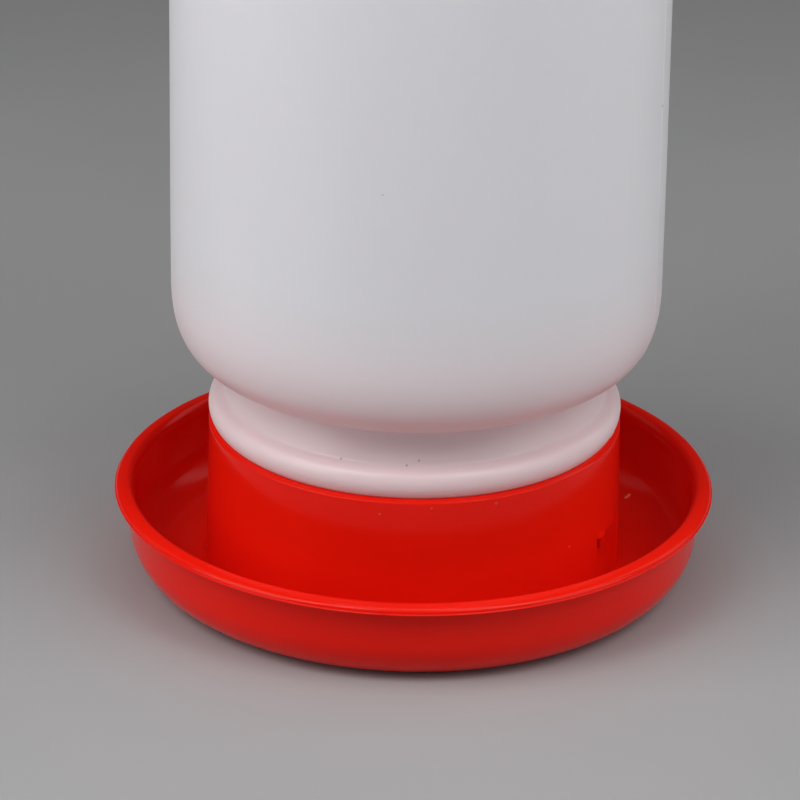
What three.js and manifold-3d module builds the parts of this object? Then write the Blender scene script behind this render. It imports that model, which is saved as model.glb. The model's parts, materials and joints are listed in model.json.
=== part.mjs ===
// Poultry waterer fount, in millimetres, +Z up, origin on the jar's axis at the table.
// A blow-moulded jar stands neck down in a moulded base, a drinking tray with a collar in its middle.
// Three ribs round the neck pass between three lugs in the collar when the jar is turned to let go,
// and a snap-on bail handle swings on two studs near the jar's closed end.
// Azimuths are degrees from the front (-Y) round towards the right (+X).
import * as THREE from "three";
import { mergeVertices } from "three/addons/utils/BufferGeometryUtils.js";
import Module from "manifold-3d";

const wasm = await Module();
wasm.setup();

// ---- Driving dimensions ----
const AROUND = 48; // steps round the axis
const GAP = 0.3; // between touching pieces

// Base: tray
const TRAY_R = 100; // lip's outer edge
const LIP_TOP = 31.1;
const LIP_CROWN_R = 95.8; // where the lip is highest
const LIP_EDGE_Z = 28.8; // the moulding's parting edge, round the outside of the lip
const LIP_STEP = 0.4; // how far that edge stands out of the lip's dome
const LIP_EDGE = 0.9; // its thickness
const LIP_UNDER = 1.6; // from it down to where the lip's underside meets the wall
const LIP_INNER_R = 93.2;
const LIP_DROP = 5; // from the crown down to where its inner side is upright
const WALL_TOP_R = 96.1; // outside of the wall, just under the lip
const WALL_FOOT_R = 95.1; // outside of the wall, where its bottom fillet starts
const WALL_INNER_R = 93;
const TRAY_FILLET = 16.2; // outside, wall to underside
const TROUGH_FILLET = 12.8; // inside, wall to trough floor
const FLOOR = 2.2; // thickness of the bottom

// Base: collar
const COLLAR_TOP = 54.1;
const COLLAR_TOP_R = 68.45;
const COLLAR_FOOT_R = 69.4;
const COLLAR_BORE_R = 66.4;
const COLLAR_BORE_FOOT_R = 66.2;
const COLLAR_FILLET = 3; // outside
const COLLAR_FOOT = 1; // the same, inside
const COLLAR_EDGE = 0.8; // rounding of the top edge
const COLLAR_CHAMFER = 0.4; // inside the mouth
const LUG_COUNT = 3;
const LUG_SPAN = 40; // degrees
const COLLAR_LUG_R = 63; // how far in the collar's lugs reach
const COLLAR_LUG_Z = [40, 43.5];
const COLLAR_LUG_AZIMUTH = 60;

// Base: water outlet, a recess low on the collar with a hole in the front half of its back wall
const OUTLET_AZIMUTH = 71;
const OUTLET_SPAN = 18; // degrees
const OUTLET_TOP = 24;
const OUTLET_BACK_R = 66.2;
const OUTLET_WALL = 2;
const OUTLET_MARGIN = 2.5; // degrees by which that wall is wider than the recess, at each side
const OUTLET_HOLE_AZIMUTH = 67;
const OUTLET_HOLE_WIDTH = 8.6; // measured along Y, because the hole goes straight through along X
const OUTLET_HOLE_Z = [15.5, 23];

// Jar
const JAR_R = 80.8;
const JAR_TOP = 250;
const JAR_WALL = 1.6;
const NECK_R = 62;
const MOUTH_Z = 17;
const NECK_FILLET = 2;
const BEAD = { r: 64.2, z: 58.9, out: 4.3, down: 5.6, up: 4.8 }; // half an ellipse in section
const GROOVE_FOOT_R = 63.6;
const GROOVE_TOP = { r: 61.2, z: 73.4 };
const GROOVE_FILLET = 3.4;
const SHOULDER = { z: 106.4, in: 23.8, down: 29.6, power: 2.8 }; // a superellipse
const CROWN = { z: 233, in: 20, up: 17, power: 2.4 };
const DISH_R = 46; // the closed end's hollow, so that the jar stands neck up on a ring
const DISH_DEPTH = 4;
const NECK_RIB_R = 64.6;
const NECK_RIB_Z = [35.2, 38.7];
const NECK_RIB_AZIMUTH = 0;

// Handle and the studs that it swings on
const PIVOT_Z = 231;
const STUD_R = 4.5;
const STUD_HEAD_R = 6.2;
const STUD_END_X = 87.6;
const STUD_HEAD_X = 85.8;
const PIN_SIDES = 32;
const BAIL_R = [82.2, 85.4]; // inside and outside of the band
const BAIL_HALF_WIDTH = 5;
const EYE_R = 9.5;
const GRIP_OUTER_R = 87.2;
const GRIP_HALF_WIDTH = 8;
const GRIP_SPAN = 70; // degrees
const BAIL_REST_DEG = 5; // below level, where the band leans on the back of the jar

const DEG = Math.PI / 180;

// ---- Profiles: points are [radius, height] ----

// Points on an arc of an ellipse. A power over 2 squares its shoulders; angles are in degrees.
function arc(r, z, radiusR, radiusZ, from, to, steps, power = 2) {
  const points = [];
  for (let i = 0; i <= steps; i++) {
    const angle = (from + ((to - from) * i) / steps) * DEG;
    const c = Math.cos(angle);
    const s = Math.sin(angle);
    points.push([
      r + radiusR * Math.sign(c) * Math.abs(c) ** (2 / power),
      z + radiusZ * Math.sign(s) * Math.abs(s) ** (2 / power),
    ]);
  }
  return points;
}

// The same line moved sideways, to the left of its direction.
function offset(points, distance) {
  return points.map(([r, z], i) => {
    const before = points[Math.max(i - 1, 0)];
    const after = points[Math.min(i + 1, points.length - 1)];
    const length = Math.hypot(after[0] - before[0], after[1] - before[1]);
    const moved = r - (distance * (after[1] - before[1])) / length;
    return [Math.max(moved, 0), z + (distance * (after[0] - before[0])) / length];
  });
}

// ---- Solids ----

function solid(geometry) {
  const bare = geometry.clone();
  bare.deleteAttribute("normal");
  bare.deleteAttribute("uv");
  const merged = mergeVertices(bare, 1e-4);
  return new wasm.Manifold(
    new wasm.Mesh({
      numProp: 3,
      vertProperties: merged.attributes.position.array,
      triVerts: new Uint32Array(merged.index.array),
    }),
  );
}

function geometryOf(body) {
  const mesh = body.getMesh();
  const geometry = new THREE.BufferGeometry();
  geometry.setAttribute("position", new THREE.BufferAttribute(mesh.vertProperties, 3));
  geometry.setIndex(new THREE.BufferAttribute(mesh.triVerts, 1));
  return geometry.toNonIndexed();
}

// A profile turned round the Z axis.
function turned(profile) {
  const points = profile.map(([r, z]) => new THREE.Vector2(r, z));
  return solid(new THREE.LatheGeometry(points, AROUND).rotateX(Math.PI / 2));
}

// Part of a ring, from one azimuth and height to another.
function sector(innerR, outerR, middleAzimuth, span, [z0, z1]) {
  const from = (middleAzimuth - span / 2 - 90) * DEG;
  const to = (middleAzimuth + span / 2 - 90) * DEG;
  const shape = new THREE.Shape();
  shape.absarc(0, 0, outerR, from, to, false);
  shape.absarc(0, 0, innerR, to, from, true);
  const steps = Math.max(2, Math.round(span / 4));
  const geometry = new THREE.ExtrudeGeometry(shape, {
    depth: z1 - z0,
    bevelEnabled: false,
    curveSegments: steps,
  });
  return solid(geometry.translate(0, 0, z0));
}

// The same sector, repeated evenly round the axis.
function sectors(innerR, outerR, firstAzimuth, heights) {
  return Array.from({ length: LUG_COUNT }, (_, i) =>
    sector(innerR, outerR, firstAzimuth + (360 * i) / LUG_COUNT, LUG_SPAN, heights),
  );
}

// A disc or pin whose axis is along X.
function pin(radius, x0, x1) {
  const geometry = new THREE.CylinderGeometry(radius, radius, x1 - x0, PIN_SIDES).rotateZ(Math.PI / 2);
  return solid(geometry.translate((x0 + x1) / 2, 0, 0));
}

function join(body, others) {
  return others.reduce((sum, other) => sum.add(other), body);
}

function cut(body, others) {
  return others.reduce((rest, other) => rest.subtract(other), body);
}

// ---- Base ----

function baseProfile() {
  const domeZ = LIP_EDGE_Z + GAP;
  const filletR = WALL_FOOT_R - TRAY_FILLET;
  const troughR = WALL_INNER_R - TROUGH_FILLET;
  const edgeR = COLLAR_TOP_R - COLLAR_EDGE;
  const collarFootR = COLLAR_FOOT_R + COLLAR_FILLET;
  return [
    [0, 0],
    ...arc(filletR, TRAY_FILLET, TRAY_FILLET, TRAY_FILLET, -90, 0, 6),
    [WALL_TOP_R, LIP_EDGE_Z - LIP_UNDER],
    [TRAY_R - LIP_EDGE, LIP_EDGE_Z - LIP_EDGE],
    [TRAY_R, LIP_EDGE_Z],
    ...arc(LIP_CROWN_R, domeZ, TRAY_R - LIP_STEP - LIP_CROWN_R, LIP_TOP - domeZ, 10, 90, 4),
    ...arc(LIP_CROWN_R, LIP_TOP - LIP_DROP, LIP_CROWN_R - LIP_INNER_R, LIP_DROP, 110, 180, 4),
    ...arc(troughR, FLOOR + TROUGH_FILLET, TROUGH_FILLET, TROUGH_FILLET, 0, -90, 6),
    ...arc(collarFootR, FLOOR + COLLAR_FILLET, COLLAR_FILLET, COLLAR_FILLET, -90, -180, 3),
    ...arc(edgeR, COLLAR_TOP - COLLAR_EDGE, COLLAR_EDGE, COLLAR_EDGE, 0, 90, 3),
    [COLLAR_BORE_R + COLLAR_CHAMFER, COLLAR_TOP],
    [COLLAR_BORE_R, COLLAR_TOP - COLLAR_CHAMFER],
    [COLLAR_BORE_FOOT_R, FLOOR + COLLAR_FOOT],
    [COLLAR_BORE_FOOT_R - COLLAR_FOOT, FLOOR],
    [0, FLOOR],
  ];
}

// The hole through the recess's back wall, along X. It is cut long enough to clear that curved wall.
function outletHole() {
  const [z0, z1] = OUTLET_HOLE_Z;
  const middleR = OUTLET_BACK_R - OUTLET_WALL / 2;
  const azimuth = OUTLET_HOLE_AZIMUTH * DEG;
  const box = new THREE.BoxGeometry(4 * OUTLET_WALL, OUTLET_HOLE_WIDTH, z1 - z0);
  return solid(box.translate(middleR * Math.sin(azimuth), -middleR * Math.cos(azimuth), (z0 + z1) / 2));
}

function base() {
  const innerR = OUTLET_BACK_R - OUTLET_WALL;
  const backing = sector(
    innerR,
    COLLAR_BORE_R + 1,
    OUTLET_AZIMUTH,
    OUTLET_SPAN + 2 * OUTLET_MARGIN,
    [FLOOR - 1, OUTLET_TOP + OUTLET_WALL],
  );
  const recess = sector(
    OUTLET_BACK_R,
    COLLAR_FOOT_R + COLLAR_FILLET,
    OUTLET_AZIMUTH,
    OUTLET_SPAN,
    [FLOOR + GAP, OUTLET_TOP],
  );
  const lugs = sectors(COLLAR_LUG_R, COLLAR_BORE_R + 1, COLLAR_LUG_AZIMUTH, COLLAR_LUG_Z);
  return cut(join(turned(baseProfile()), [backing, ...lugs]), [recess, outletHole()]);
}

// ---- Jar ----

// From the neck's mouth, up the outside, to the middle of the closed end.
function jarOutside() {
  const neckTop = BEAD.z - BEAD.down - NECK_FILLET;
  const underside = SHOULDER.z - SHOULDER.down;
  return [
    [NECK_R, MOUTH_Z],
    [NECK_R, neckTop],
    [NECK_R + 0.6 * NECK_FILLET, neckTop + NECK_FILLET],
    ...arc(BEAD.r, BEAD.z, BEAD.out, BEAD.down, -90, 0, 4),
    ...arc(BEAD.r, BEAD.z, BEAD.out, BEAD.up, 25, 90, 3),
    [GROOVE_FOOT_R - 0.2, BEAD.z + BEAD.up + 0.5],
    [GROOVE_TOP.r, GROOVE_TOP.z],
    [GROOVE_TOP.r + 0.3 * GROOVE_FILLET, underside - 0.3 * GROOVE_FILLET],
    ...arc(JAR_R - SHOULDER.in, SHOULDER.z, SHOULDER.in, SHOULDER.down, -83, 0, 9, SHOULDER.power),
    ...arc(JAR_R - CROWN.in, CROWN.z, CROWN.in, CROWN.up, 0, 90, 6, CROWN.power),
    [DISH_R + 6, JAR_TOP],
    [DISH_R, JAR_TOP - DISH_DEPTH / 3],
    [DISH_R - 10, JAR_TOP - DISH_DEPTH],
    [0, JAR_TOP - DISH_DEPTH],
  ];
}

function jar() {
  const outside = jarOutside();
  const inside = offset(outside, JAR_WALL);
  const studs = [-1, 1].flatMap((side) => {
    const shaft = [side * (JAR_R - 1), side * STUD_END_X].sort((a, b) => a - b);
    const head = [side * STUD_HEAD_X, side * STUD_END_X].sort((a, b) => a - b);
    return [pin(STUD_R, ...shaft), pin(STUD_HEAD_R, ...head)];
  });
  const ribs = sectors(NECK_R - 1, NECK_RIB_R, NECK_RIB_AZIMUTH, NECK_RIB_Z);
  const shell = turned([...inside.reverse(), ...outside]);
  return join(shell, [...studs.map((stud) => stud.translate([0, 0, PIVOT_Z])), ...ribs]);
}

// ---- Handle: drawn in the plane of its bow, with the pivot axis along X through the origin ----

function bow(innerR, outerR, span, halfWidth) {
  return sector(innerR, outerR, 180, span, [-halfWidth, halfWidth]);
}

function handle() {
  const [inner, outer] = BAIL_R;
  const eyes = [pin(EYE_R, inner, outer), pin(EYE_R, -outer, -inner)];
  const grip = bow(inner, GRIP_OUTER_R, GRIP_SPAN, GRIP_HALF_WIDTH);
  const holes = [pin(STUD_R + GAP, inner - 1, outer + 1), pin(STUD_R + GAP, -outer - 1, -inner + 1)];
  return cut(join(bow(inner, outer, 180, BAIL_HALF_WIDTH), [...eyes, grip]), holes);
}

// ---- Materials and the assembly ----

function redPlastic() {
  return new THREE.MeshStandardMaterial({ color: 0xd41408, roughness: 0.28, metalness: 0 });
}

function whitePlastic() {
  return new THREE.MeshStandardMaterial({ color: 0xd8d2d6, roughness: 0.42, metalness: 0 });
}

function piece(name, body, material) {
  const mesh = new THREE.Mesh(geometryOf(body), material);
  mesh.name = name;
  return mesh;
}

const fount = new THREE.Group();
fount.add(piece("base", base(), redPlastic()));
fount.add(piece("jar", jar(), whitePlastic()));

const bail = new THREE.Group();
bail.position.z = PIVOT_Z;
bail.rotation.x = -BAIL_REST_DEG * DEG;
bail.add(piece("handle", handle(), redPlastic()));
fount.add(bail);

export default fount;
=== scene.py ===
"""Poultry waterer fount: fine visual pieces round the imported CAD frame, with a plain studio.

Lengths are in millimetres until a mesh is made, and azimuths are degrees from the front (-Y)
round towards the right (+X), as in the part's own source.
"""
import json
import math

import bmesh
import bpy
from mathutils import Matrix, Vector, noise


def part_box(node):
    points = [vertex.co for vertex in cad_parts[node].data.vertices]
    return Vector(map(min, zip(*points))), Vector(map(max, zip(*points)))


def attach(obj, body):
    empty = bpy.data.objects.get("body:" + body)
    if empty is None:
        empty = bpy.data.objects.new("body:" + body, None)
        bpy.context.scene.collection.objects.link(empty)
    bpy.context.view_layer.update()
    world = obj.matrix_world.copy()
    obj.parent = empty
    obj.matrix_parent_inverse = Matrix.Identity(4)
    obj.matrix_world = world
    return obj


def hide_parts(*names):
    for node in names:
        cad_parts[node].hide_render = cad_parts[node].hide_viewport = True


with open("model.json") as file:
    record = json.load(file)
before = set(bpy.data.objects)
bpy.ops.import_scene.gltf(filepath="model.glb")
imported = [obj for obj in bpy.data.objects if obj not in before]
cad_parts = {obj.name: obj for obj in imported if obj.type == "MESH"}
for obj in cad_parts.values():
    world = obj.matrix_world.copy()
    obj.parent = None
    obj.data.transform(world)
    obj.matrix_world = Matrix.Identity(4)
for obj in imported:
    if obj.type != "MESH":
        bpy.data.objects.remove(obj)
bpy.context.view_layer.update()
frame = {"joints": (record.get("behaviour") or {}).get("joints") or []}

MM = 0.001

# ---- Sizes, from the frame and from the part's driving dimensions ----

BASE_LOW, BASE_HIGH = (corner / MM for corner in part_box("base"))
JAR_LOW, JAR_HIGH = (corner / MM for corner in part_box("jar"))
HANDLE_JOINT = next(j for j in frame["joints"] if j["name"] == "handle_swing")

TRAY_R = BASE_HIGH.x
LIP_TOP = 31.1
LIP_CROWN_R = 95.8
LIP_EDGE_Z = 28.8
LIP_INNER_R = 93.2
LIP_DROP = 5
LIP_FILLET = 0.8
WALL_TOP_R = 96.1
WALL_FOOT_R = 95.1
WALL_INNER_R = 93
TRAY_FILLET = 16.2
TROUGH_FILLET = 12.8
FLOOR = 2.2

COLLAR_TOP = BASE_HIGH.z
COLLAR_TOP_R = 68.45
COLLAR_FOOT_R = 69.4
COLLAR_BORE_R = 66.4
COLLAR_BORE_FOOT_R = 66.2
COLLAR_FILLET = 3
COLLAR_RIM_DROP = 1.25  # how far the rim's domed top falls to its outer corner
COLLAR_CORNER = 0.35
COLLAR_CHAMFER = 0.04
WELL_FILLET = 1.6
LUG_AZIMUTHS = (60, 180, 300)
LUG_SPAN = 40
COLLAR_LUG_R = 63
COLLAR_LUG_Z = (40, 43.5)

OUTLET_AZIMUTH = 71
OUTLET_SPAN = 18
OUTLET_TOP = 24
OUTLET_BACK_R = 66.2
OUTLET_WALL = 2
OUTLET_HOLE_AZIMUTHS = (63.0, 71.4)
OUTLET_HOLE_Z = (15.5, 23)
OUTLET_RAMP_Z = (3, 14)  # where the recess's back slopes out towards its foot
OUTLET_RAMP_OUT = 0.55  # the share of the recess's depth that the slope fills at the foot

JAR_R = 80.8
JAR_TOP = JAR_HIGH.z
JAR_WALL = 1.6
NECK_R = 62
MOUTH_Z = JAR_LOW.z
NECK_FILLET = 2
BEAD_R, BEAD_Z, BEAD_OUT, BEAD_DOWN, BEAD_UP = 64.2, 58.9, 4.3, 5.6, 4.8
GROOVE_TOP_R, GROOVE_TOP_Z = 61.2, 73.4
GROOVE_FILLET = 3.4
SHOULDER_Z, SHOULDER_IN, SHOULDER_DOWN, SHOULDER_POWER = 106.4, 23.8, 29.6, 2.8
CROWN_Z, CROWN_IN, CROWN_UP, CROWN_POWER = 233, 20, 17, 2.4
DISH_EDGE_R, DISH_FLOOR_R = 55, 38
DISH_DEPTH = 4
RIB_AZIMUTHS = (0, 120, 240)
NECK_RIB_R = 64.6
NECK_RIB_Z = (35.2, 38.7)
SEAM_AZIMUTHS = (74, 254)
SEAM_HEIGHT, SEAM_WIDTH = 0.16, 0.45  # of the parting line up the sides
PINCH_HEIGHT, PINCH_WIDTH = 0.7, 0.9  # of the seam across the closed end
JAR_WAVER = 0.09  # how far the blown wall strays in and out

PIVOT_Z = HANDLE_JOINT["pos_m"][2] / MM
STUD_R = 4.5
STUD_HEAD_R = 6.2
STUD_HEAD_X = 85.8
STUD_END_X = JAR_HIGH.x
STUD_FILLET = 1.1
STUD_EDGE = 0.4
STUD_DOME = 1.2
BAIL_INNER_R, BAIL_OUTER_R = 82.2, 85.4
BAIL_HALF_WIDTH = 5
EYE_R = 9.5
EYE_HOLE_R = 4.8
GRIP_OUTER_R = 87.2
GRIP_HALF_WIDTH = 8
GRIP_SPAN = 70
GRIP_RIB_DEG = 8  # from one rib of the grip to the next
GRIP_RIB_DEPTH = 0.7
BAIL_SINK = 0.9  # of the strap's outer face between its raised edges
BAIL_REST_DEG = 5

TURN_STEP = 1.25  # degrees between the columns of a turned skin
SHARP_ANGLE = 38  # degrees between faces from which an edge is shaded sharp


# ---- Profiles: lists of (radius, height) ----

def arc(r, z, radius_r, radius_z, start, end, steps, power=2.0):
    """Points on an arc of an ellipse; a power over 2 squares its shoulders."""
    points = []
    for i in range(steps + 1):
        angle = math.radians(start + (end - start) * i / steps)
        c, s = math.cos(angle), math.sin(angle)
        points.append((
            r + radius_r * math.copysign(abs(c) ** (2 / power), c),
            z + radius_z * math.copysign(abs(s) ** (2 / power), s),
        ))
    return points


def line(start, end, steps):
    """Points along a straight stretch, without its first point."""
    return [
        (start[0] + (end[0] - start[0]) * i / steps, start[1] + (end[1] - start[1]) * i / steps)
        for i in range(1, steps + 1)
    ]


def curve(a, b, c, d, steps):
    """A cubic curve from a to d that leaves towards b and arrives from c, without its first point."""
    points = []
    for i in range(1, steps + 1):
        t = i / steps
        weights = ((1 - t) ** 3, 3 * t * (1 - t) ** 2, 3 * t * t * (1 - t), t ** 3)
        points.append(tuple(sum(w * p[k] for w, p in zip(weights, (a, b, c, d))) for k in (0, 1)))
    return points


def offset(points, distance):
    """The same line moved sideways, to the left of its direction."""
    moved = []
    for i, (r, z) in enumerate(points):
        before = points[max(i - 1, 0)]
        after = points[min(i + 1, len(points) - 1)]
        length = math.hypot(after[0] - before[0], after[1] - before[1])
        moved.append((
            max(r - distance * (after[1] - before[1]) / length, 0.0),
            z + distance * (after[0] - before[0]) / length,
        ))
    return moved


def step(x, low, high):
    """0 below low, 1 above high, and smooth between."""
    t = min(max((x - low) / (high - low), 0.0), 1.0)
    return t * t * (3 - 2 * t)


def window(x, middle, half, edge):
    """1 within half of the middle, 0 further out, with a smooth edge that wide."""
    return 1 - step(abs(x - middle), half - edge / 2, half + edge / 2)


def apart(a, b):
    """The difference of two azimuths, from -180 to 180."""
    return (a - b + 180) % 360 - 180


def place(azimuth, r, z):
    """The point at that azimuth, radius and height."""
    a = math.radians(azimuth)
    return Vector((r * math.sin(a), -r * math.cos(a), z))


def on_wall(points, azimuth, z):
    """The place on a turned wall at that azimuth and height."""
    for (low_r, low_z), (high_r, high_z) in zip(points, points[1:]):
        if low_z <= z <= high_z:
            return place(azimuth, low_r + (high_r - low_r) * (z - low_z) / (high_z - low_z), z)


# ---- Meshes ----

def azimuths(spacing, fine=()):
    """Azimuths all round, each fine entry adding (middle, half span, spacing) of closer ones."""
    turns = {round(i * spacing, 4) for i in range(round(360 / spacing))}
    for middle, half, close in fine:
        turns = {a for a in turns if abs(apart(a, middle)) > half}
        count = round(2 * half / close)
        turns |= {round((middle - half + 2 * half * i / count) % 360, 4) for i in range(count + 1)}
    return sorted(turns)


def turned(name, profile, turns, shape, hole=None):
    """A profile that starts and ends on the axis, turned round Z as one closed skin.

    shape(index, r, z, azimuth) gives the point's own radius and height.
    hole = (rows outside, rows inside, columns) leaves a tunnel between the two skins.
    """
    made = bmesh.new()
    rows = []
    for j, (r, z) in enumerate(profile):
        if r < 1e-6:
            rows.append([made.verts.new((0, 0, z * MM))])
            continue
        rows.append([made.verts.new(place(a, *shape(j, r, z, a)) * MM) for a in turns])
    count = len(turns)
    outer, inner, columns = hole or ((), (), ())
    for j in range(len(rows) - 1):
        low, high = rows[j], rows[j + 1]
        for i in range(count):
            k = (i + 1) % count
            if i in columns[:-1] and (j in outer[:-1] or j in inner[:-1]):
                continue
            corners = [low[i % len(low)], low[k % len(low)], high[k % len(high)], high[i % len(high)]]
            made.faces.new(list(dict.fromkeys(corners)))
    if hole:
        tunnel(made, rows, outer, inner, columns)
    bmesh.ops.recalc_face_normals(made, faces=made.faces)
    mesh = bpy.data.meshes.new(name)
    made.to_mesh(mesh)
    made.free()
    return link(name, mesh)


def tunnel(made, rows, outer, inner, columns):
    """Joins the rim of a gap in the outside rows to the rim of the gap in the inside rows."""
    inner = list(reversed(inner))  # so that both run upwards
    for i in (columns[0], columns[-1]):
        for a, b, c, d in zip(outer, outer[1:], inner, inner[1:]):
            made.faces.new([rows[a][i], rows[b][i], rows[d][i], rows[c][i]])
    for a, c in ((outer[0], inner[0]), (outer[-1], inner[-1])):
        for i, k in zip(columns, columns[1:]):
            made.faces.new([rows[a][i], rows[a][k], rows[c][k], rows[c][i]])


def link(name, mesh):
    mesh.shade_smooth()
    mesh.set_sharp_from_angle(angle=math.radians(SHARP_ANGLE))
    piece = bpy.data.objects.new(name, mesh)
    bpy.context.scene.collection.objects.link(piece)
    return piece


def built(name, build, *settings):
    """A new object whose mesh a function fills in."""
    made = bmesh.new()
    build(made, *settings)
    bmesh.ops.recalc_face_normals(made, faces=made.faces)
    mesh = bpy.data.meshes.new(name)
    made.to_mesh(mesh)
    made.free()
    return link(name, mesh)


def bevel(piece, width, segments=2, angle=50):
    modifier = piece.modifiers.new("edges", "BEVEL")
    modifier.width = width * MM
    modifier.segments = segments
    modifier.limit_method = "ANGLE"
    modifier.angle_limit = math.radians(angle)
    modifier.harden_normals = False


# ---- Base ----

# Azimuth, width in degrees and depth of each nick in the lip's moulding edge
NICKS = (
    (-59, 0.5, 0.3), (-5, 0.35, 0.25), (50, 0.5, 0.3),
    (64.5, 0.45, 0.3), (118, 0.4, 0.25), (203, 0.5, 0.3),
)
LIP_EDGE_WAVER = 0.06
# The burr on the outlet's top edge: azimuth, half span, how far it stands out, and its height
BURR = (64.4, 2.0, 0.7, 1.7)
# The blister in the trough: azimuth, half span, radius, half length and height
BLISTER = (121.0, 0.45, 86.3, 1.3, 0.3)
# The gate in the middle of the underside, and the round sink it stands in
GATE = [(0, 0.4), (1.5, 0.4), (1.9, 0.55), (2.0, 0.9)]
GATE_SINK = [(5.4, 0.9), (5.8, 0.75), (6.2, 0.1), (6.5, 0)]


def wall_heights():
    """Heights up the collar's wall, close together at the outlet's and the lugs' edges."""
    low, high = OUTLET_HOLE_Z
    marks = [FLOOR + COLLAR_FILLET + 0.01, 7.5, 9.5, 12, 14]
    marks += [low - 0.5, low, low + 0.5, (low + high) / 2, high - 0.5, high, high + 0.3]
    marks += [OUTLET_TOP + 0.15 * i for i in range(-4, 25)]
    marks += [28.2, 29, 31.5, 34, 36.5, 38.5]
    for edge in COLLAR_LUG_Z:
        marks += [edge - 0.45, edge - 0.15, edge + 0.15, edge + 0.45]
    marks += [41.75, 45.5, 48, 50.5, 52]
    return sorted(marks)


def base_profile():
    """The base's section, and where in it the collar's foot and its two walls lie."""
    foot_r = COLLAR_FOOT_R + COLLAR_FILLET
    fillet_r = WALL_FOOT_R - TRAY_FILLET
    trough_r = WALL_INNER_R - TROUGH_FILLET
    heights = wall_heights()
    slope = (COLLAR_TOP_R - COLLAR_FOOT_R) / (COLLAR_TOP - FLOOR - COLLAR_FILLET)
    bore_slope = (COLLAR_BORE_R - COLLAR_BORE_FOOT_R) / (COLLAR_TOP - FLOOR)
    points = GATE + GATE_SINK
    points += line(points[-1], (fillet_r, 0), 8)
    points += arc(fillet_r, TRAY_FILLET, TRAY_FILLET, TRAY_FILLET, -90, 0, 22)[1:]
    # under the lip and out to its thin moulding edge, then over its crown
    under_z, dome_r, dome_z = LIP_EDGE_Z - 1.8, TRAY_R - 0.42, LIP_EDGE_Z + 0.3
    points += line(points[-1], (WALL_TOP_R, under_z), 6)
    points += arc(WALL_TOP_R + LIP_FILLET, under_z, LIP_FILLET, LIP_FILLET, 180, 90, 5)[1:]
    points += line(points[-1], (TRAY_R - 0.75, LIP_EDGE_Z - 0.45), 3)
    points += [(TRAY_R - 0.12, LIP_EDGE_Z - 0.3), (TRAY_R, LIP_EDGE_Z - 0.2), (TRAY_R, LIP_EDGE_Z)]
    points += [(TRAY_R - 0.1, LIP_EDGE_Z + 0.12), (dome_r, LIP_EDGE_Z + 0.2)]
    points += arc(LIP_CROWN_R, dome_z, dome_r - LIP_CROWN_R, LIP_TOP - dome_z, 3, 90, 16)
    points += arc(LIP_CROWN_R, LIP_TOP - LIP_DROP, LIP_CROWN_R - LIP_INNER_R, LIP_DROP, 96, 180, 14)
    # down into the trough, and across its floor to the collar's foot
    points += line(points[-1], (WALL_INNER_R, FLOOR + TROUGH_FILLET), 6)
    points += arc(trough_r, FLOOR + TROUGH_FILLET, TROUGH_FILLET, TROUGH_FILLET, 0, -90, 36)[1:]
    points += line(points[-1], (foot_r, FLOOR), 4)
    foot = len(points) - 1
    points += arc(foot_r, FLOOR + COLLAR_FILLET, COLLAR_FILLET, COLLAR_FILLET, -90, -180, 8)[1:]
    outside = range(len(points), len(points) + len(heights))
    points += [(COLLAR_FOOT_R + slope * (z - FLOOR - COLLAR_FILLET), z) for z in heights]
    # over the collar's domed rim into its well
    rim_r, rim_z = COLLAR_TOP_R - COLLAR_CORNER, COLLAR_TOP - COLLAR_RIM_DROP
    points += arc(rim_r, rim_z, COLLAR_CORNER, COLLAR_CORNER, 0, 52, 5)
    corner = points[-1]
    rim_end = (COLLAR_BORE_R + COLLAR_CHAMFER, COLLAR_TOP)
    leave, arrive = (corner[0] - 0.63, corner[1] + 0.49), (rim_end[0] + 0.65, rim_end[1])
    points += curve(corner, leave, arrive, rim_end, 8)
    points += [(COLLAR_BORE_R, COLLAR_TOP - COLLAR_CHAMFER)]
    inside = range(len(points), len(points) + len(heights))
    points += [(COLLAR_BORE_FOOT_R + bore_slope * (z - FLOOR), z) for z in reversed(heights)]
    well_r = COLLAR_BORE_FOOT_R - WELL_FILLET
    points += arc(well_r, FLOOR + WELL_FILLET, WELL_FILLET, WELL_FILLET, 0, -90, 5)
    points += line(points[-1], (0, FLOOR), 8)
    return points, foot, outside, inside


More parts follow.
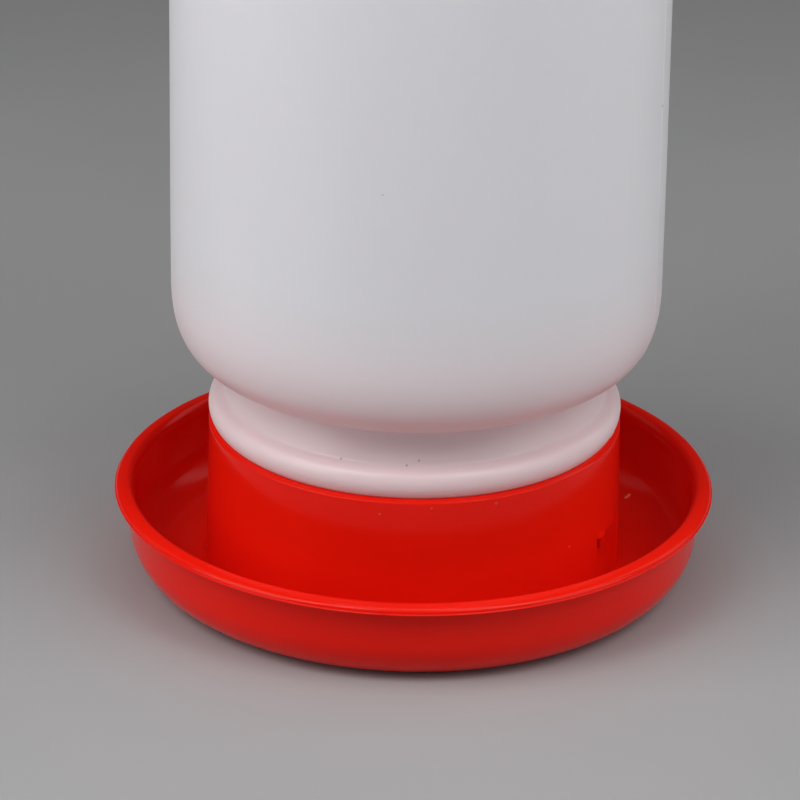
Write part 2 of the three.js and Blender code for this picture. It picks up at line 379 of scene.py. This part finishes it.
def base_piece():
    points, foot, outside, inside = base_profile()
    half = OUTLET_SPAN / 2
    fine = [(at, 1.5, 0.15) for at, _, _ in NICKS] + [(OUTLET_AZIMUTH, half + 3.5, 0.2)]
    fine += [(a + side * LUG_SPAN / 2, 1.5, 0.3) for a in LUG_AZIMUTHS for side in (-1, 1)]
    fine += [(BLISTER[0], 1.5, 0.15)]
    turns = azimuths(TURN_STEP, fine)
    depth = COLLAR_FOOT_R - OUTLET_BACK_R
    lug_middle, lug_half = sum(COLLAR_LUG_Z) / 2, (COLLAR_LUG_Z[1] - COLLAR_LUG_Z[0]) / 2

    def shape(j, r, z, a):
        near = abs(apart(a, OUTLET_AZIMUTH))
        if foot <= j < outside.stop:
            # the outlet's recess, and the burr above it
            across = 1 - step(near, half - 0.55, half + 0.3)
            sunk = 1 - OUTLET_RAMP_OUT * (1 - step(z, *OUTLET_RAMP_Z))
            r -= depth * sunk * across * (1 - step(z, OUTLET_TOP - 0.25, OUTLET_TOP + 0.3))
            at, burr_half, proud, reach = BURR
            if z > OUTLET_TOP + 0.2:
                fade = 1 - min((z - OUTLET_TOP - 0.2) / reach, 1)
                r += proud * fade * window(apart(a, at), 0, burr_half, 1.0)
        if j >= inside.start:
            # the swelling behind the recess, and the lugs that hold the jar
            across = 1 - step(near, half + 1.5, half + 2.8)
            r -= min(depth - 1, r) * across * (1 - step(z, OUTLET_TOP + 1.5, OUTLET_TOP + 2.6))
            lug = max(window(apart(a, middle), 0, LUG_SPAN / 2, 0.9) for middle in LUG_AZIMUTHS)
            lug *= window(z, lug_middle, lug_half, 0.6)
            r -= (COLLAR_BORE_R - COLLAR_LUG_R) * lug
        if j < foot and FLOOR < z < FLOOR + TROUGH_FILLET:
            at, blister_half, middle, length, high = BLISTER
            z += high * window(apart(a, at), 0, blister_half, 0.5) * window(r, middle, length, 0.9)
        if r > TRAY_R - 0.3 and z < LIP_EDGE_Z + 0.15:
            nick = max(deep * window(apart(a, at), 0, width, width) for at, width, deep in NICKS)
            r -= nick + LIP_EDGE_WAVER * abs(noise.noise((a * 0.2, 3.1, 0)))
        return r, z

    rows_out = [j for j in outside if OUTLET_HOLE_Z[0] <= points[j][1] <= OUTLET_HOLE_Z[1]]
    rows_in = [j for j in inside if OUTLET_HOLE_Z[0] <= points[j][1] <= OUTLET_HOLE_Z[1]]
    first, last = OUTLET_HOLE_AZIMUTHS
    columns = [i for i, a in enumerate(turns) if first - 0.01 <= a <= last + 0.01]
    piece = turned("base_moulding", points, turns, shape, (rows_out, rows_in, columns))
    bevel(piece, 0.2)
    piece.data.materials.append(red_plastic())
    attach(piece, "base")
    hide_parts("base")


# ---- Jar ----

def jar_outside():
    """From the neck's mouth, up the outside, to the middle of the closed end."""
    neck_top = BEAD_Z - BEAD_DOWN - NECK_FILLET
    underside = SHOULDER_Z - SHOULDER_DOWN
    groove_low = (GROOVE_TOP_R + 2.2, GROOVE_TOP_Z - 8.2)  # where the bead's upper fillet ends
    points = [(NECK_R - 0.5, MOUTH_Z), (NECK_R - 0.12, MOUTH_Z + 0.15), (NECK_R, MOUTH_Z + 0.6)]
    points += line(points[-1], (NECK_R, NECK_RIB_Z[0] - 0.8), 9)
    points += [(NECK_R, NECK_RIB_Z[0] - 0.8 + 0.2 * i) for i in range(1, 27)]  # past the ribs
    points += line(points[-1], (NECK_R, neck_top), 5)
    points += arc(NECK_R + NECK_FILLET, neck_top, NECK_FILLET, NECK_FILLET, 180, 100, 7)[1:]
    points += arc(BEAD_R, BEAD_Z, BEAD_OUT, BEAD_DOWN, -82, 0, 16)
    points += arc(BEAD_R, BEAD_Z, BEAD_OUT, BEAD_UP, 5, 55, 12)
    start = points[-1]
    leave = (start[0] - 1.6, start[1] + 1.1)
    points += curve(start, leave, (groove_low[0] + 0.35, groove_low[1] - 1.3), groove_low, 10)
    points += line(points[-1], (GROOVE_TOP_R, GROOVE_TOP_Z), 6)
    fillet = GROOVE_FILLET * 0.96
    fillet_up, fillet_r = underside - GROOVE_TOP_Z, GROOVE_TOP_R + fillet
    points += arc(fillet_r, GROOVE_TOP_Z + 0.2, fillet, fillet_up, 176, 96, 9)
    shoulder_r, crown_r = JAR_R - SHOULDER_IN, JAR_R - CROWN_IN
    points += arc(shoulder_r, SHOULDER_Z, SHOULDER_IN, SHOULDER_DOWN, -80, 0, 60, SHOULDER_POWER)
    points += line(points[-1], (JAR_R, CROWN_Z), 28)
    points += arc(crown_r, CROWN_Z, CROWN_IN, CROWN_UP, 0, 90, 34, CROWN_POWER)[1:]
    points += line(points[-1], (DISH_EDGE_R, JAR_TOP), 2)
    for r, z in line(points[-1], (DISH_FLOOR_R, JAR_TOP), 14):
        points.append((r, z - DISH_DEPTH * (1 - step(r, DISH_FLOOR_R, DISH_EDGE_R))))
    points += line(points[-1], (PINCH_WIDTH, JAR_TOP - DISH_DEPTH), 12)
    return points + [(0, JAR_TOP - DISH_DEPTH + PINCH_HEIGHT)]


def jar_piece():
    outside = jar_outside()
    inside = offset(outside, JAR_WALL)
    inside[0] = (NECK_R - JAR_WALL + 0.2, MOUTH_Z)
    inside[-1] = (0.0, JAR_TOP - DISH_DEPTH - JAR_WALL)
    profile = list(reversed(inside)) + outside
    first = len(inside)
    fine = [(a + side * LUG_SPAN / 2, 1.5, 0.3) for a in RIB_AZIMUTHS for side in (-1, 1)]
    fine += [(a, 1.2, 0.12) for a in SEAM_AZIMUTHS]
    turns = azimuths(TURN_STEP, fine)
    rib_middle, rib_half = sum(NECK_RIB_Z) / 2, (NECK_RIB_Z[1] - NECK_RIB_Z[0]) / 2

    def shape(j, r, z, a):
        if j < first:
            return r, z
        if z < BEAD_Z - BEAD_DOWN:
            rib = max(window(apart(a, middle), 0, LUG_SPAN / 2, 1.1) for middle in RIB_AZIMUTHS)
            r += (NECK_RIB_R - NECK_R) * rib * window(z, rib_middle, rib_half, 0.7)
        away = math.radians(min(abs(apart(a, at)) for at in SEAM_AZIMUTHS)) * r
        r += SEAM_HEIGHT * math.exp(-((away / SEAM_WIDTH) ** 2)) * step(r, 20, 60)
        x, y = math.sin(math.radians(a)), -math.cos(math.radians(a))
        if z > SHOULDER_Z - SHOULDER_DOWN and r > 50:
            r += JAR_WAVER * noise.noise((2.2 * x, 2.2 * y, z * 0.018)) * step(z, 80, 110)
        elif z > CROWN_Z and r < 40:
            # the seam left where the parison was pinched shut, along the parting plane
            across = r * math.sin(math.radians(apart(a, SEAM_AZIMUTHS[0])))
            z += PINCH_HEIGHT * math.exp(-((across / PINCH_WIDTH) ** 2)) * (1 - step(r, 26, 31))
        return r, z

    piece = turned("jar_shell", profile, turns, shape)
    piece.data.materials.append(white_plastic())
    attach(piece, "jar")
    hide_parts("jar")
    for side, word in ((-1, "left"), (1, "right")):
        stud = stud_piece("jar_stud_" + word, side)
        stud.data.materials.append(piece.data.materials[0])
        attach(stud, "jar")


def stud_piece(name, side):
    """A round stud with a domed head, turned about X."""
    root_r, root_x = STUD_R + STUD_FILLET, JAR_R - 1.2
    points = [(0, root_x), (root_r, root_x), (root_r, JAR_R - 0.1)]
    points += arc(root_r, JAR_R + 1.0, STUD_FILLET, STUD_FILLET, -90, -180, 6)
    points += [(STUD_R, STUD_HEAD_X - STUD_EDGE)]
    points += arc(STUD_R + STUD_EDGE, STUD_HEAD_X - STUD_EDGE, STUD_EDGE, STUD_EDGE, 180, 90, 3)[1:]
    points += arc(STUD_HEAD_R - STUD_EDGE, STUD_HEAD_X + STUD_EDGE, STUD_EDGE, STUD_EDGE, -90, 0, 3)
    points += arc(STUD_HEAD_R - STUD_DOME, STUD_END_X - STUD_DOME, STUD_DOME, STUD_DOME, 0, 90, 6)
    points += [(2, STUD_END_X), (0, STUD_END_X)]
    stud = turned(name, points, azimuths(7.5), lambda j, r, z, a: (r, z))
    turn = Matrix.Rotation(math.radians(90 * side), 4, "Y")
    stud.data.transform(Matrix.Translation((0, 0, PIVOT_Z * MM)) @ turn)
    return stud


# ---- Handle ----

def bow_point(angle, radius, across):
    """A point on the bow, in the handle's plane: angle is from the right-hand eye round to the left."""
    return Vector((radius * math.cos(angle), radius * math.sin(angle), across)) * MM


def bow_mesh(made, steps=180):
    """The strap: a flat band with raised edges that swells into a ribbed grip."""
    rings = []
    for i in range(steps + 1):
        angle = math.pi * i / steps
        off = abs(math.degrees(angle) - 90)
        grip = 1 - step(off, GRIP_SPAN / 2 - 3, GRIP_SPAN / 2 + 3)
        half = BAIL_HALF_WIDTH + (GRIP_HALF_WIDTH - BAIL_HALF_WIDTH) * grip
        outer = BAIL_OUTER_R + (GRIP_OUTER_R - BAIL_OUTER_R) * grip
        rib = window(off % GRIP_RIB_DEG, GRIP_RIB_DEG / 2, 1.6, 1.6) * (1 - step(off, 27, 29))
        inner = BAIL_INNER_R + GRIP_RIB_DEPTH * grip * rib
        sink = BAIL_SINK * (1 - grip) * step(abs(off - 90), 8, 12)
        # one side of the section, from the inner face round to the outer one
        side = [
            (inner, half - 1),
            (BAIL_INNER_R + 0.9 * (1 - grip) + 1.6 * grip, half),
            (outer - 0.9 - 0.9 * grip, half),
            (outer, half - 0.8 - 1.2 * grip),
            (outer, half - 1.6 - 1.4 * grip),
            (outer - sink, half - 2.4 - 1.4 * grip),
        ]
        section = [(radius, -across) for radius, across in side] + list(reversed(side))
        rings.append([made.verts.new(bow_point(angle, radius, across)) for radius, across in section])
    for a, b in zip(rings, rings[1:]):
        for i in range(len(a)):
            k = (i + 1) % len(a)
            made.faces.new([a[i], a[k], b[k], b[i]])
    made.faces.new(list(reversed(rings[0])))
    made.faces.new(rings[-1])


def eye_mesh(made, side):
    """A ring with rounded edges round the stud, its axis along X."""
    low, high, edge, hole_edge = BAIL_INNER_R, BAIL_OUTER_R, 0.6, 0.4
    section = [
        (EYE_HOLE_R, low + hole_edge), (EYE_HOLE_R + hole_edge, low),
        (EYE_R - edge, low), (EYE_R, low + edge),
        (EYE_R, high - edge), (EYE_R - edge, high),
        (EYE_HOLE_R + hole_edge, high), (EYE_HOLE_R, high - hole_edge),
    ]
    count = 64
    rings = []
    for i in range(count):
        angle = 2 * math.pi * i / count
        c, s = math.cos(angle), math.sin(angle)
        rings.append([made.verts.new(Vector((side * x, r * c, r * s)) * MM) for r, x in section])
    for i in range(count):
        a, b = rings[i], rings[(i + 1) % count]
        for j in range(len(section)):
            k = (j + 1) % len(section)
            made.faces.new([a[j], a[k], b[k], b[j]])


def cutter_mesh(made):
    """A rod along X, as wide as the eyes' holes and longer than the handle is wide."""
    bmesh.ops.create_cone(
        made, cap_ends=True, segments=64, radius1=EYE_HOLE_R * MM, radius2=EYE_HOLE_R * MM,
        depth=2.4 * BAIL_OUTER_R * MM, matrix=Matrix.Rotation(math.radians(90), 4, "Y"),
    )


def handle_piece():
    """The strap with an eye at each end, joined and softened into one moulding."""
    piece = built("bow", bow_mesh)
    eyes = [built("eye_right", eye_mesh, 1), built("eye_left", eye_mesh, -1)]
    cutter = built("hole_cutter", cutter_mesh)
    for other, operation in [(cutter, "DIFFERENCE")] + [(eye, "UNION") for eye in eyes]:
        modifier = piece.modifiers.new(operation, "BOOLEAN")
        modifier.operation = operation
        modifier.solver = "EXACT"
        modifier.object = other
    remesh = piece.modifiers.new("skin", "REMESH")
    remesh.mode = "VOXEL"
    remesh.voxel_size = 0.4 * MM
    remesh.use_smooth_shade = True
    smooth = piece.modifiers.new("soft", "SMOOTH")
    smooth.factor = 0.5
    smooth.iterations = 4
    mesh = applied(piece, "handle_moulding")
    for part in [piece, *eyes, cutter]:
        bpy.data.objects.remove(part)
    rest = Matrix.Rotation(math.radians(-BAIL_REST_DEG), 4, "X")
    mesh.transform(Matrix.Translation((0, 0, PIVOT_Z * MM)) @ rest)
    moulding = bpy.data.objects.new("handle_moulding", mesh)
    bpy.context.scene.collection.objects.link(moulding)
    mesh.materials.append(bpy.data.materials["red_plastic"])
    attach(moulding, "handle")
    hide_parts("handle")


def applied(piece, name):
    """The piece's mesh with its modifiers applied."""
    bpy.context.view_layer.update()
    evaluated = piece.evaluated_get(bpy.context.evaluated_depsgraph_get())
    mesh = bpy.data.meshes.new_from_object(evaluated)
    mesh.name = name
    return mesh


# ---- Materials ----

class Nodes:
    """Short calls for building a node tree."""

    def __init__(self, name):
        self.material = bpy.data.materials.new(name)
        self.material.use_nodes = True
        self.tree = self.material.node_tree
        self.shader = self.tree.nodes["Principled BSDF"]
        self.here = self.add("ShaderNodeTexCoord").outputs["Object"]

    def add(self, kind, **settings):
        node = self.tree.nodes.new(kind)
        for key, value in settings.items():
            if key.startswith("in_"):
                node.inputs[key[3:].replace("_", " ")].default_value = value
            else:
                setattr(node, key, value)
        return node

    def join(self, output, target):
        self.tree.links.new(output, target)
        return output

    def noise(self, scale, detail=2.0, roughness=0.5, stretch=None):
        node = self.add("ShaderNodeTexNoise", in_Scale=scale, in_Detail=detail, in_Roughness=roughness)
        self.join(self.stretched(stretch), node.inputs["Vector"])
        return node.outputs["Fac"]

    def stretched(self, stretch):
        if stretch is None:
            return self.here
        mapping = self.add("ShaderNodeMapping")
        mapping.inputs["Scale"].default_value = stretch
        self.join(self.here, mapping.inputs["Vector"])
        return mapping.outputs["Vector"]

    def ramp(self, source, low, high, bottom=0.0, top=1.0):
        node = self.add("ShaderNodeMapRange", interpolation_type="SMOOTHSTEP")
        for key, value in (("From Min", low), ("From Max", high), ("To Min", bottom), ("To Max", top)):
            node.inputs[key].default_value = value
        self.join(source, node.inputs["Value"])
        return node.outputs["Result"]

    def specks(self, scale, size, share):
        """1 on small spots, in that share of the cells of a grid with that many cells a metre."""
        cells = self.add("ShaderNodeTexVoronoi", in_Scale=scale)
        self.join(self.here, cells.inputs["Vector"])
        spot = self.ramp(cells.outputs["Distance"], size * 0.55, size, 1.0, 0.0)
        chosen = self.add("ShaderNodeMath", operation="LESS_THAN")
        split = self.add("ShaderNodeSeparateColor")
        self.join(cells.outputs["Color"], split.inputs["Color"])
        self.join(split.outputs["Red"], chosen.inputs[0])
        chosen.inputs[1].default_value = share
        both = self.add("ShaderNodeMath", operation="MULTIPLY")
        self.join(spot, both.inputs[0])
        self.join(chosen.outputs[0], both.inputs[1])
        return both.outputs[0]

    def marks(self, places, size):
        """1 on soft spots of that radius, in millimetres, round the places."""
        most = None
        for middle in places:
            away = self.add("ShaderNodeVectorMath", operation="DISTANCE")
            self.join(self.here, away.inputs[0])
            away.inputs[1].default_value = middle * MM
            spot = self.ramp(away.outputs["Value"], size * 0.5 * MM, size * MM, 1.0, 0.0)
            if most is None:
                most = spot
                continue
            greater = self.add("ShaderNodeMath", operation="MAXIMUM")
            self.join(most, greater.inputs[0])
            self.join(spot, greater.inputs[1])
            most = greater.outputs[0]
        return most

    def mix(self, factor, first, second):
        node = self.add("ShaderNodeMix", data_type="RGBA")
        self.join(factor, node.inputs["Factor"])
        for value, target in ((first, node.inputs["A"]), (second, node.inputs["B"])):
            if isinstance(value, tuple):
                target.default_value = (*value, 1)
            else:
                self.join(value, target)
        return node.outputs["Result"]

    def bump(self, height, distance, strength=1.0, before=None):
        node = self.add("ShaderNodeBump", in_Distance=distance, in_Strength=strength)
        self.join(height, node.inputs["Height"])
        if before is not None:
            self.join(before, node.inputs["Normal"])
        return node.outputs["Normal"]


# Small marks: azimuth and height of each
COLLAR_SCUFFS = ((-9, 49), (5, 51.5), (48, 28))
GROOVE_SPECKS = ((-2, 64.5), (1.5, 66), (-21.5, 64.5))


def blister_pale_spot():
    """Places along the top of the trough's blister, where a paler spot is painted."""
    at, _, middle, _, high = BLISTER
    trough_r = WALL_INNER_R - TROUGH_FILLET
    places = []
    for r in (middle - 0.5, middle, middle + 0.5):
        drop = math.sqrt(TROUGH_FILLET ** 2 - (r - trough_r) ** 2)
        places.append(place(at, r, FLOOR + TROUGH_FILLET - drop + high / 2))
    return places


def red_plastic():
    """Glossy moulded polypropylene, opaque and deep red, with a few specks, scuffs and a paler spot on
    the trough's blister.
    """
    n = Nodes("red_plastic")
    mottle = n.ramp(n.noise(14, 3), 0.35, 0.7)
    colour = n.mix(mottle, (0.815, 0.0088, 0.0026), (0.855, 0.0113, 0.0034))
    speck = n.specks(150, 0.1, 0.05)
    colour = n.mix(speck, colour, (0.82, 0.07, 0.04))
    points, _, outside, _ = base_profile()
    wall = [points[j] for j in outside]
    scuffs = [on_wall(wall, azimuth, z) for azimuth, z in COLLAR_SCUFFS]
    colour = n.mix(n.marks(scuffs, 0.5), colour, (0.85, 0.10, 0.06))
    # a paler spot painted along the top of the trough's blister
    colour = n.mix(n.marks(blister_pale_spot(), 0.85), colour, (0.90, 0.24, 0.18))
    n.join(colour, n.shader.inputs["Base Color"])
    gloss = n.ramp(n.noise(11, 2), 0.35, 0.7, 0.14, 0.19)
    n.join(gloss, n.shader.inputs["Roughness"])
    n.join(n.bump(speck, 0.00008, 0.6), n.shader.inputs["Normal"])
    n.shader.inputs["IOR"].default_value = 1.49
    n.shader.inputs["Specular IOR Level"].default_value = 0.16
    n.shader.inputs["Subsurface Weight"].default_value = 0.12
    n.shader.inputs["Subsurface Radius"].default_value = (1.0, 0.05, 0.02)
    n.shader.inputs["Subsurface Scale"].default_value = 0.003
    return n.material


def white_plastic():
    """Satin blow-moulded polyethylene: milky, with soft clouding, a fine skin and a few specks.

    The neck is painted pinker low down: painted red light, standing in for the red glow that the base
    throws onto the milky neck and through it.
    """
    n = Nodes("white_plastic")
    cloud = n.ramp(n.noise(9, 3, 0.5, (1, 1, 0.4)), 0.3, 0.7)
    body = n.mix(cloud, (0.80, 0.782, 0.818), (0.84, 0.822, 0.858))
    split = n.add("ShaderNodeSeparateXYZ")
    n.join(n.here, split.inputs[0])
    # painted red light: the colour turns pinker and a little lighter towards the neck, in place of the
    # red light from the base
    low = n.ramp(split.outputs["Z"], 0.074, 0.13, 1.0, 0.0)
    colour = n.mix(low, body, (0.86, 0.675, 0.69))
    speck = n.specks(90, 0.06, 0.04)
    colour = n.mix(speck, colour, (0.42, 0.38, 0.36))
    specks = [on_wall(jar_outside(), azimuth, z) for azimuth, z in GROOVE_SPECKS]
    colour = n.mix(n.marks(specks, 0.45), colour, (0.50, 0.28, 0.26))
    n.join(colour, n.shader.inputs["Base Color"])
    satin = n.ramp(n.noise(35, 4, 0.6, (1, 1, 0.3)), 0.35, 0.75, 0.34, 0.42)
    n.join(satin, n.shader.inputs["Roughness"])
    skin = n.bump(n.noise(420, 3), 0.00002)
    n.join(n.bump(n.noise(40, 2, 0.5, (1, 1, 0.25)), 0.00006, 1.0, skin), n.shader.inputs["Normal"])
    n.shader.inputs["IOR"].default_value = 1.5
    n.shader.inputs["Subsurface Weight"].default_value = 0.5
    n.shader.inputs["Subsurface Radius"].default_value = (1.0, 0.85, 0.8)
    n.shader.inputs["Subsurface Scale"].default_value = 0.003
    return n.material


def floor_material():
    n = Nodes("pale_floor")
    tone = n.mix(n.ramp(n.noise(3, 3), 0.3, 0.7), (0.36, 0.36, 0.365), (0.39, 0.39, 0.395))
    n.join(tone, n.shader.inputs["Base Color"])
    n.shader.inputs["Roughness"].default_value = 0.7
    return n.material


# ---- Studio ----

def floor():
    made = bmesh.new()
    bmesh.ops.create_grid(made, x_segments=8, y_segments=8, size=6)
    mesh = bpy.data.meshes.new("floor")
    made.to_mesh(mesh)
    made.free()
    plane = bpy.data.objects.new("floor", mesh)
    bpy.context.scene.collection.objects.link(plane)
    mesh.materials.append(floor_material())


def softbox(name, azimuth, elevation, distance, width, height, power, target=(0, 0, 0.1)):
    """A rectangular lamp that faces the target, its sizes in metres and its power in watts."""
    light = bpy.data.lights.new(name, "AREA")
    light.shape = "RECTANGLE"
    light.size = width
    light.size_y = height
    light.energy = power
    a, e = math.radians(azimuth), math.radians(elevation)
    away = Vector((math.sin(a) * math.cos(e), -math.cos(a) * math.cos(e), math.sin(e)))
    box = bpy.data.objects.new(name, light)
    box.location = Vector(target) + away * distance
    box.rotation_euler = away.to_track_quat("Z", "Y").to_euler()
    bpy.context.scene.collection.objects.link(box)


def studio():
    world = bpy.data.worlds.new("studio")
    world.use_nodes = True
    background = world.node_tree.nodes["Background"]
    background.inputs["Color"].default_value = (0.9, 0.92, 1, 1)
    background.inputs["Strength"].default_value = 0.03
    bpy.context.scene.world = world
    softbox("left_softbox", -65, 28, 1.1, 0.8, 1.1, 6.9)
    softbox("right_softbox", 65, 28, 1.1, 0.8, 1.1, 4.7)
    softbox("high_left_softbox", -38, 50, 1.2, 0.5, 0.55, 2.6)
    softbox("high_right_softbox", 38, 50, 1.2, 0.5, 0.55, 2.3)
    softbox("high_softbox", 0, 58, 1.2, 1.0, 0.6, 1.5)
    softbox("overhead_softbox", 0, 80, 1.2, 0.8, 0.3, 1.8)
    softbox("right_edge_softbox", 112, 25, 1.2, 0.4, 1.0, 1.2)
    softbox("left_edge_softbox", -112, 25, 1.2, 0.4, 1.0, 0.4)


CAMERA_PLACE = Vector((0, -1.527, 0.7432))
CAMERA_DOWN, CAMERA_LEFT, CAMERA_ROLL = 0.4213, 0.0032, 0.014  # radians
CAMERA_LENS = 226.3  # mm, on a 36 mm sensor


def camera():
    data = bpy.data.cameras.new("camera")
    data.sensor_width = 36
    data.lens = CAMERA_LENS
    eye = bpy.data.objects.new("camera", data)
    turn = Matrix.Rotation(CAMERA_LEFT, 4, "Z") @ Matrix.Rotation(math.pi / 2 - CAMERA_DOWN, 4, "X")
    eye.matrix_world = Matrix.Translation(CAMERA_PLACE) @ turn @ Matrix.Rotation(CAMERA_ROLL, 4, "Z")
    bpy.context.scene.collection.objects.link(eye)
    bpy.context.scene.camera = eye


camera()
base_piece()
jar_piece()
handle_piece()
floor()
studio()
bpy.context.scene.view_settings.view_transform = "Standard"
